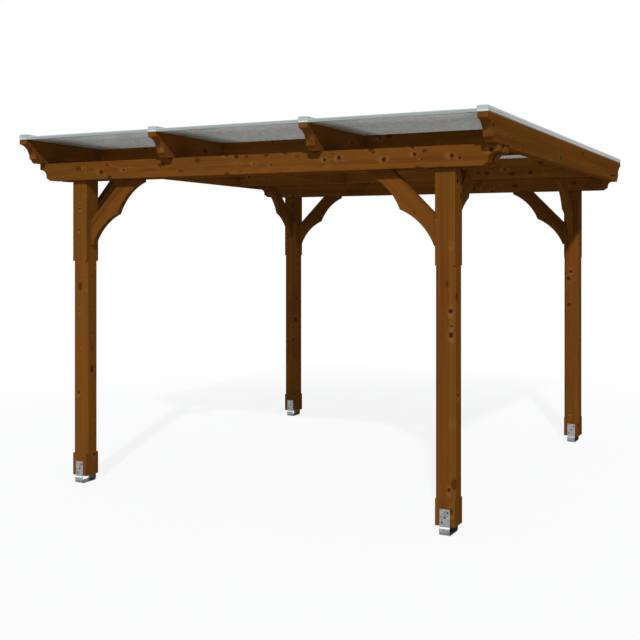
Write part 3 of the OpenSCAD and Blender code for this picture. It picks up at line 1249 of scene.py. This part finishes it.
@dataclass
class GlazingBars:
    """Four bars over the rafters: web, capped profile, rubber seals, screws and end caps."""

    plane: RoofPlane
    count: int = 4
    half: float = 0.032
    foot: float = 0.016
    top: float = 0.034
    easing: float = 0.0008
    lip: float = 0.0008
    seat: float = 0.0016
    groove: Span = (0.0022, 0.0075)
    groove_slant: Span = (0.0006, 0.0007)
    groove_roof: float = 0.0024
    bevel: Span = (0.0026, 0.0022)
    channel: Span = (0.0098, 0.0105)
    channel_depth: float = 0.0042
    web_half: float = 0.011
    web_top: float = 0.009
    seal_half: float = 0.0028
    seal_rib: float = 0.00025
    seal_top: float = 0.0026
    seal_inset: float = 0.0049
    screw_step: float = 0.32
    screw_inset: float = 0.08
    end_gap: float = 0.006
    cap_inset: float = 0.002
    seal_end: float = 0.001
    split: float = 0.0115
    cap_easing: float = 0.003
    base_easing: float = 0.0012
    base_thick: float = 0.0018
    metal: DrawnMetal = DrawnMetal((0.52, 0.56, 0.56), (0.4, 0.43, 0.43), 0.3, 0.4)
    # The web's dark tone is painted shade: it darkens the band seen through the sheet beside each
    # rafter.
    web: MouldedStrip = MouldedStrip((0.1, 0.09, 0.065), (0.13, 0.12, 0.09), 0.6)
    rubber: MouldedStrip = MouldedStrip((0.3, 0.3, 0.29), (0.22, 0.22, 0.2), 0.55)
    end_cap: MouldedStrip = MouldedStrip((0.42, 0.485, 0.485), (0.34, 0.39, 0.39), 0.45)
    base_cap: MouldedStrip = MouldedStrip((0.64, 0.66, 0.58), (0.54, 0.55, 0.48), 0.45)
    steel: DrawnMetal = DrawnMetal(
        (0.5, 0.5, 0.49), (0.3, 0.3, 0.3), 0.85, 0.28, (300.0, 300.0, 300.0)
    )

    def cap_outline(self) -> np.ndarray:
        """Gives the cap's outline: one half from the foot to the screw channel, then mirrored.

        Returns:
            The outline, 18 corners eased.
        """
        w, f, t = self.half, self.foot, self.top
        near, far = self.groove
        half = [
            (w - far - self.groove_slant[1], f + self.seat),
            (w - far, f + self.groove_roof),
            (w - near, f + self.groove_roof),
            (w - near + self.groove_slant[0], f + self.lip),
            (w, f + self.lip),
            (w, t - self.bevel[1]),
            (w - self.bevel[0], t),
            (self.channel[1], t),
            (self.channel[0], t - self.channel_depth),
        ]
        return eased(np.vstack([half, np.array(half[::-1]) * (-1.0, 1.0)]), self.easing, 3)

    def block(self, half: float, low: float, high: float, easing: float, steps: int) -> np.ndarray:
        """Gives the outline of a block from low to high, with eased corners."""
        corners = [(-half, low), (half, low), (half, high), (-half, high)]
        return eased(np.array(corners), easing, steps)

    def seal_outline(self) -> np.ndarray:
        """Gives a seal's outline: a low bead with two soft ribs that press on the sheet.

        Returns:
            The outline.
        """
        x = np.linspace(-self.seal_half, self.seal_half, 15)
        under = self.foot + self.seal_rib * (1.0 - np.cos(x * 2.0 * math.pi / self.seal_half))
        over = np.full_like(x, self.foot + self.seal_top)
        return np.vstack([np.stack([x, under], 1), np.stack([x[::-1], over], 1)])

    def screw(self) -> Solid:
        """Makes one hexagon screw with a washer, standing on z = 0.

        Returns:
            The screw.
        """
        washer = [(0.0062, 0.0, 0), (0.0064, 0.0003, 0), (0.0062, 0.0009, 0), (0.0042, 0.0011, 0)]
        head = [(0.0042, 0.0011, 1), (0.0042, 0.0034, 1), (0.0038, 0.0040, 0.6), (0.0028, 0.0041, 0)]
        return spun(np.array(washer + head), 24)

    def stops(self, outline: np.ndarray, thick: float) -> Solid:
        """Makes the end caps of one outline: one at each end of the roof, just inside it."""
        last, inset = self.plane.length, 0.0002
        return drawn(outline, inset, thick).joined([drawn(outline, last - thick, last - inset)])

    def parts(self) -> dict[str, tuple[Solid, Material, bool]]:
        """Makes the parts that each bar has.

        Returns:
            By name, the level solid, its finish and whether it is shaded smooth.
        """
        y0, y1 = self.end_gap, self.plane.length - self.end_gap
        web = self.block(self.web_half, 0.0, self.web_top, self.easing, 3)
        seal = drawn(self.seal_outline(), y0 + self.seal_end, y1 - self.seal_end)
        aside = self.half - self.seal_inset
        number = int((y1 - y0 - 2 * self.screw_inset) / self.screw_step) + 1
        along = np.linspace(y0 + self.screw_inset, y1 - self.screw_inset, number)
        floor = np.full(number, self.top - self.channel_depth)
        screws = np.stack([np.zeros(number), along, floor], 1)
        thin, gap = 0.0004, 0.0002
        width = self.half - 0.0003
        cap_end = self.block(width, self.split, self.top - gap, self.cap_easing, 5)
        base_end = self.block(width, thin, self.split - thin, self.base_easing, 5)
        inset = y0 + self.cap_inset
        cap = drawn(self.cap_outline(), inset, y1 - self.cap_inset)
        seals = seal.moved(np.array([[-aside, 0.0, 0.0], [aside, 0.0, 0.0]]))
        return {
            "cap": (cap, self.metal.material("bar_metal"), True),
            "base": (drawn(web, y0, y1), self.web.material("bar_web_painted_shade"), True),
            "seals": (seals, self.rubber.material("bar_rubber"), True),
            "screws": (self.screw().moved(screws), self.steel.material("bar_screw_steel"), False),
            "cap_ends": (self.stops(cap_end, inset), self.end_cap.material("bar_end_cap"), True),
            "base_ends": (
                self.stops(base_end, self.base_thick), self.base_cap.material("bar_base_cap"), True
            ),
        }

    def build(self) -> None:
        """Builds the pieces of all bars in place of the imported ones."""
        parts = self.parts()
        for number in range(1, self.count + 1):
            low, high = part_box(f"bar_{number}")
            across = (low.x + high.x) / 2
            for name, (solid, finish, smooth) in parts.items():
                laid = self.plane.lay(solid, across)
                laid.piece(f"bar_{number}_{name}", finish, Slot.BAR, smooth)
            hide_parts(f"bar_{number}")


@dataclass
class Roof:
    """Sheets between the bars, the strips beside the end bars and the channels on the ends."""

    sheet: ClearSheet = ClearSheet()
    # The side strips' near-black lower tone, up to 8.5 mm over the rafters, is a painted shadow of
    # the gap under the strip; the cream above it is the strip's own colour.
    strip: TwoToneStrip = TwoToneStrip((0.035, 0.03, 0.012), (0.6, 0.59, 0.5), 0.0085, 0.0012)
    channel: TwoToneStrip = TwoToneStrip()

    def dress(self, nodes: Nodes, plane: RoofPlane) -> None:
        """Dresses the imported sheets, strips and channels.

        Args:
            nodes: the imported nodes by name.
            plane: the plane on top of the rafters.
        """
        up = plane.axes[2].tolist()
        level = float(plane.front @ plane.axes[2])
        finishes = {
            "sheet": self.sheet.material("clear_sheet"),
            "edge": self.strip.material("side_strip_with_painted_shadow", up, level),
            "trim": self.channel.material("end_channel", up, level),
        }
        for name, node in nodes.items():
            kind = name.split("_")[0]
            if kind in finishes:
                dress_node(node, finishes[kind])


@dataclass
class Studio:
    """Pale floor, plain light and the camera."""

    camera_at: Triple = (3.3308, -6.8933, 1.6719)
    camera_turn: float = 27.592
    camera_reach: float = 400.0
    lens: float = 56.35
    shift_y: float = -0.1248
    key_from: Triple = (0.42, -1.0, 0.68)
    key_away: float = 6.0
    key_strength: float = 2.4
    key_angle: float = 2.0
    ambient: float = 0.4
    sky: Triple = (0.92, 1.0, 1.14)
    floor_radius: float = 140.0
    floor_sides: int = 96
    floor_dark: Triple = (0.56, 0.56, 0.555)
    floor_light: Triple = (0.6, 0.6, 0.6)
    floor_patches: Mottle = Mottle((3.0, 3.0, 3.0), 3.0, 0.3, 0.7)
    floor_seen: Triple = (0.94, 0.94, 0.94)
    fade: tuple[float, ...] = (2.6, 6.5, 0.86, 1.0)

    def seen(self, w: Wiring) -> Socket:
        """Tells the rays that show the background: camera, gloss and transmission.

        Args:
            w: the wiring of the floor or the world.

        Returns:
            One for those rays and zero for the others.
        """
        path = w.add("LightPath").outputs
        through = w.larger(path["Is Glossy Ray"], path["Is Transmission Ray"])
        return w.larger(path["Is Camera Ray"], through)

    def floor_finish(self) -> Material:
        """Makes the floor's finish.

        Light meets a pale grey. The rays that show the background see a paler tone, which fades
        to white away from the middle. From below, the camera sees through.

        Returns:
            The material.
        """
        material = bpy.data.materials.new("pale_floor")
        w = bare(material)
        own = w.add("TexCoord").outputs["Object"]
        seen = self.seen(w)
        tone = w.blend(self.floor_patches.lay(w, own), self.floor_dark, self.floor_light)
        matt = w.add("BsdfDiffuse", {"Color": w.blend(seen, tone, self.floor_seen)})
        glow = w.add("Emission", {"Color": WHITE, "Strength": 1.0})
        white = w.times(seen, w.ramp(w.length(own), *self.fade))
        mixed = w.add("MixShader", {0: white, 1: matt.outputs[0], 2: glow.outputs[0]})
        below = w.add("NewGeometry").outputs["Backfacing"]
        below = w.times(below, w.add("LightPath").outputs["Is Camera Ray"])
        clear = w.add("BsdfTransparent")
        shown = w.add("MixShader", {0: below, 1: mixed.outputs[0], 2: clear.outputs[0]})
        w.add("OutputMaterial", {"Surface": shown.outputs[0]})
        return material

    def floor(self) -> None:
        """Makes the floor, a wide disc."""
        angle = np.linspace(0.0, 2.0 * math.pi, self.floor_sides, endpoint=False)
        rim = self.floor_radius * np.stack([np.cos(angle), np.sin(angle), 0.0 * angle], 1)
        mesh = bpy.data.meshes.new("floor")
        mesh.from_pydata(rim.tolist(), [], [range(self.floor_sides)])
        mesh.materials.append(self.floor_finish())
        shown("floor", mesh)

    def world(self) -> None:
        """Makes the world: an even ambient light that the camera and gloss see as white."""
        world = bpy.data.worlds.new("studio")
        w = bare(world)
        dim = w.add("Background", {"Color": self.sky, "Strength": self.ambient})
        white = w.add("Background", {"Color": WHITE, "Strength": 1.0})
        mixed = w.add("MixShader", {0: self.seen(w), 1: dim.outputs[0], 2: white.outputs[0]})
        w.add("OutputWorld", {"Surface": mixed.outputs[0]})
        bpy.context.scene.world = world

    def key(self) -> None:
        """Hangs the key lamp, a soft sun to the right of the camera."""
        lamp = bpy.data.lights.new("key", "SUN")
        lamp.energy = self.key_strength
        lamp.angle = math.radians(self.key_angle)
        made = shown("key", lamp)
        made.location = Vector(self.key_from) * self.key_away
        made.rotation_euler = Vector(self.key_from).to_track_quat("Z", "Y").to_euler()

    def camera(self) -> None:
        """Sets the camera level, turned to the left, with the horizon above the middle."""
        eye = bpy.data.cameras.new("camera")
        eye.lens = self.lens
        eye.shift_y = self.shift_y
        eye.clip_end = self.camera_reach
        made = shown("camera", eye)
        made.location = self.camera_at
        made.rotation_euler = (math.radians(90.0), 0.0, math.radians(self.camera_turn))
        bpy.context.scene.camera = made

    def build(self) -> None:
        """Sets up floor, world, lamp, camera and the plain view transform."""
        self.floor()
        self.world()
        self.key()
        self.camera()
        bpy.context.scene.view_settings.view_transform = "Standard"
        log.info("studio ready")


def main() -> None:
    """Builds the pavilion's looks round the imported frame."""
    logging.basicConfig(level=logging.INFO, format="%(name)s: %(message)s")
    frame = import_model()
    nodes = frame["nodes"]
    Studio().build()
    TimberFrame().dress(nodes)
    Anchors().build(nodes)
    plane = RoofPlane()
    GlazingBars(plane).build()
    Roof().dress(nodes, plane)
    log.info("sizes written")


if __name__ == "__main__":
    main()
